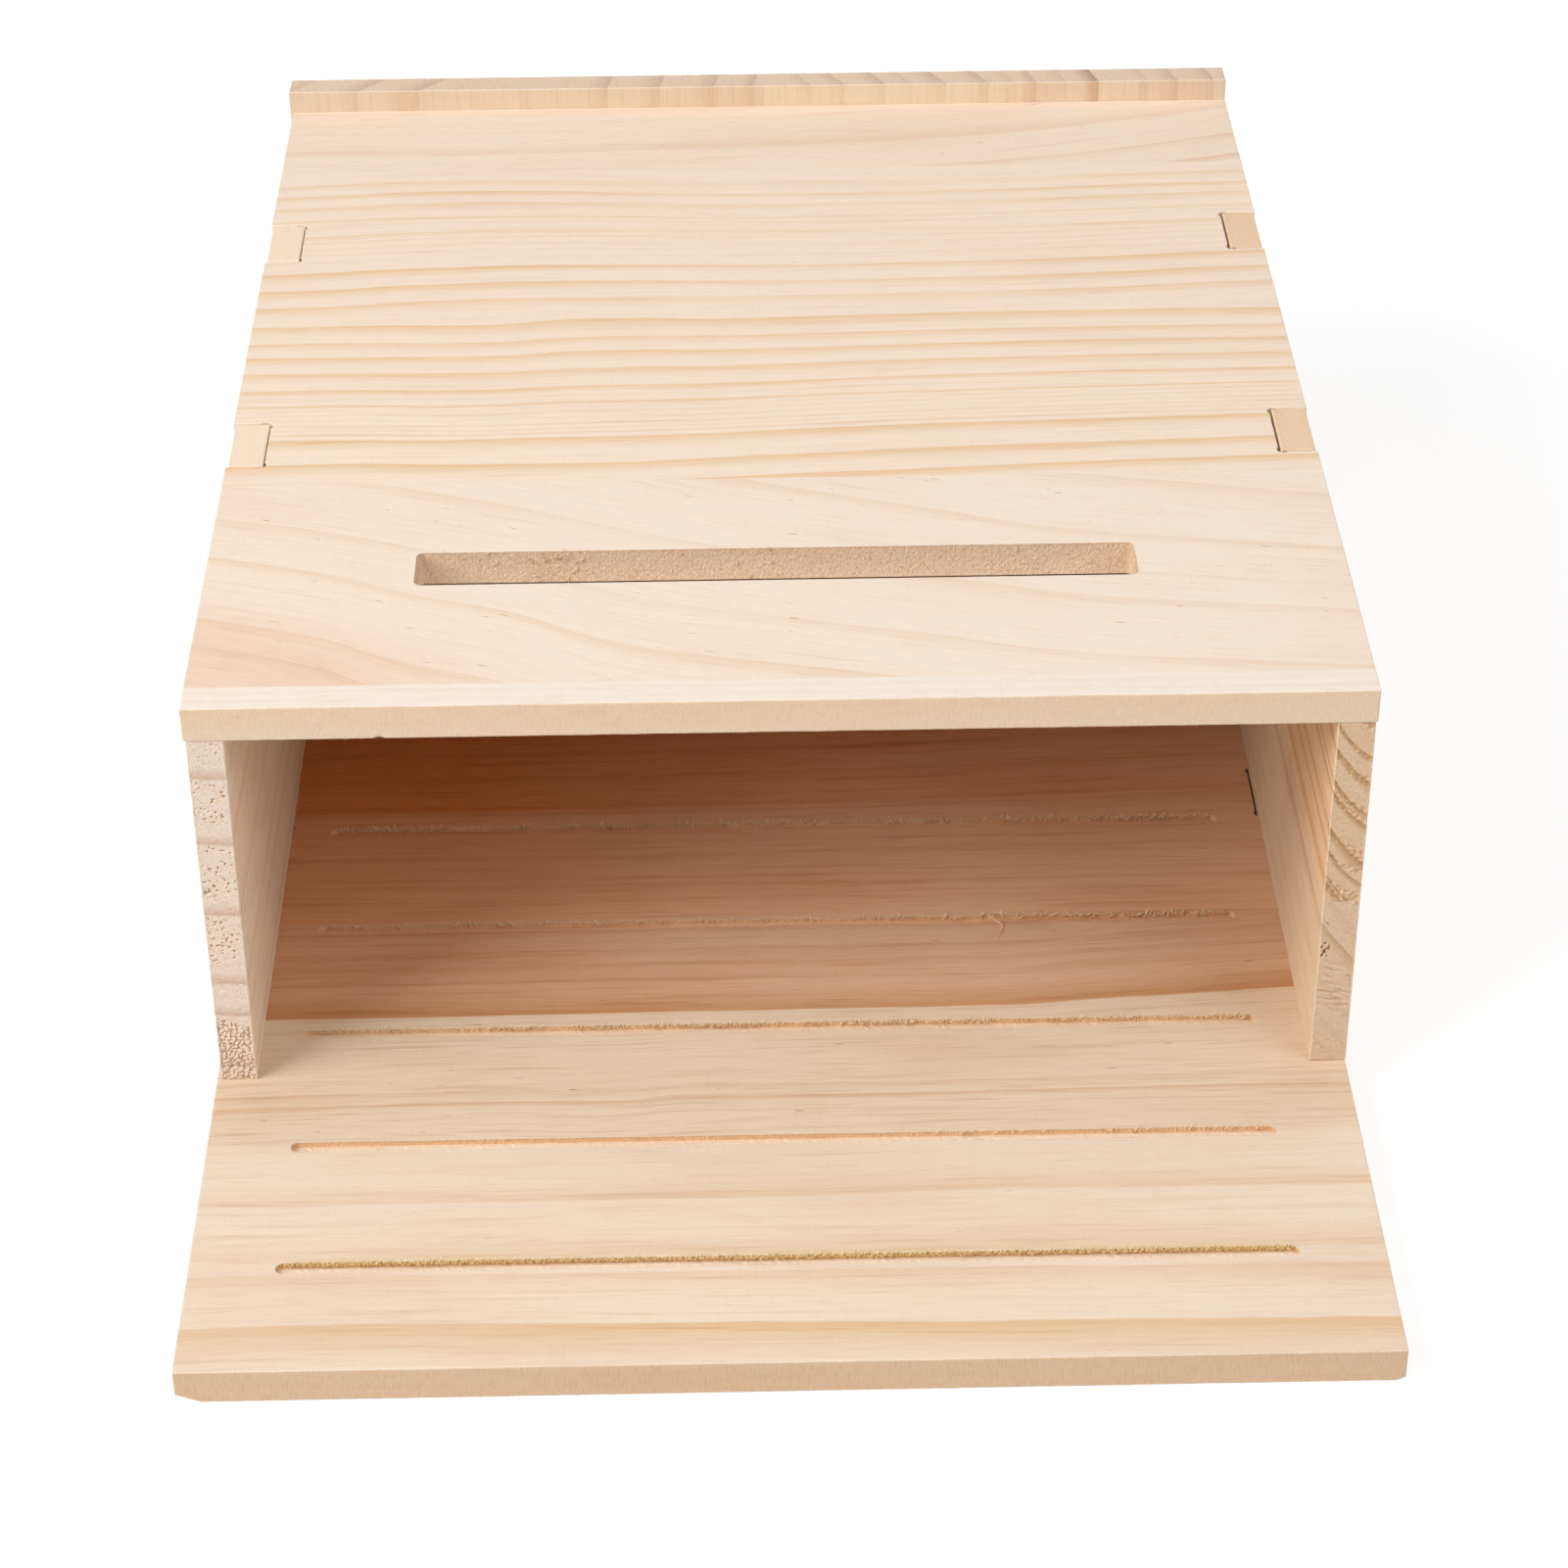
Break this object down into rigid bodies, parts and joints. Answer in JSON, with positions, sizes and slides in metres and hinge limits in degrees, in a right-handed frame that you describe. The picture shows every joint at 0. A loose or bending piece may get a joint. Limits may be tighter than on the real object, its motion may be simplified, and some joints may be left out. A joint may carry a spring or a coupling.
{
  "type": "bat box",
  "caption": "Flat-pack bat box of pine boards joined by tabs, with a slotted front panel and a grooved landing board below the open roost chamber.",
  "frame": {"origin": "middle of the part's rear face, the face that lies against the wall", "axes": "+Z points away from the wall, +Y points to the roof and +X runs to the right seen from the front"},
  "size_m": [0.2508, 0.4254, 0.1116],
  "materials": {
    "front_panel": "planed, untreated pale pine, grain across the box",
    "back_panel": "planed, untreated warm pine, grain across the box",
    "roof": "planed, untreated pine, grain from front to back",
    "left_side": "planed, untreated pine with sawn end grain",
    "right_side": "planed, untreated pine with sawn end grain"
  },
  "bodies": {
    "root": {"front_edge_strip": "front_panel", "front_slot_stave": "front_panel", "front_middle_stave": "front_panel", "front_upper_stave": "front_panel", "front_roof_stave": "front_panel", "back_edge_strip": "back_panel", "back_landing_stave": "back_panel", "back_entrance_stave": "back_panel", "back_middle_stave": "back_panel", "back_upper_stave": "back_panel", "back_roof_stave": "back_panel", "back_hanging_strip": "back_panel", "roof_left_stave": "roof", "roof_inner_left_stave": "roof", "roof_inner_right_stave": "roof", "roof_right_stave": "roof", "left_side": "left_side", "right_side_wall_stave": "right_side", "right_side_front_stave": "right_side"}
  },
  "joints": []
}
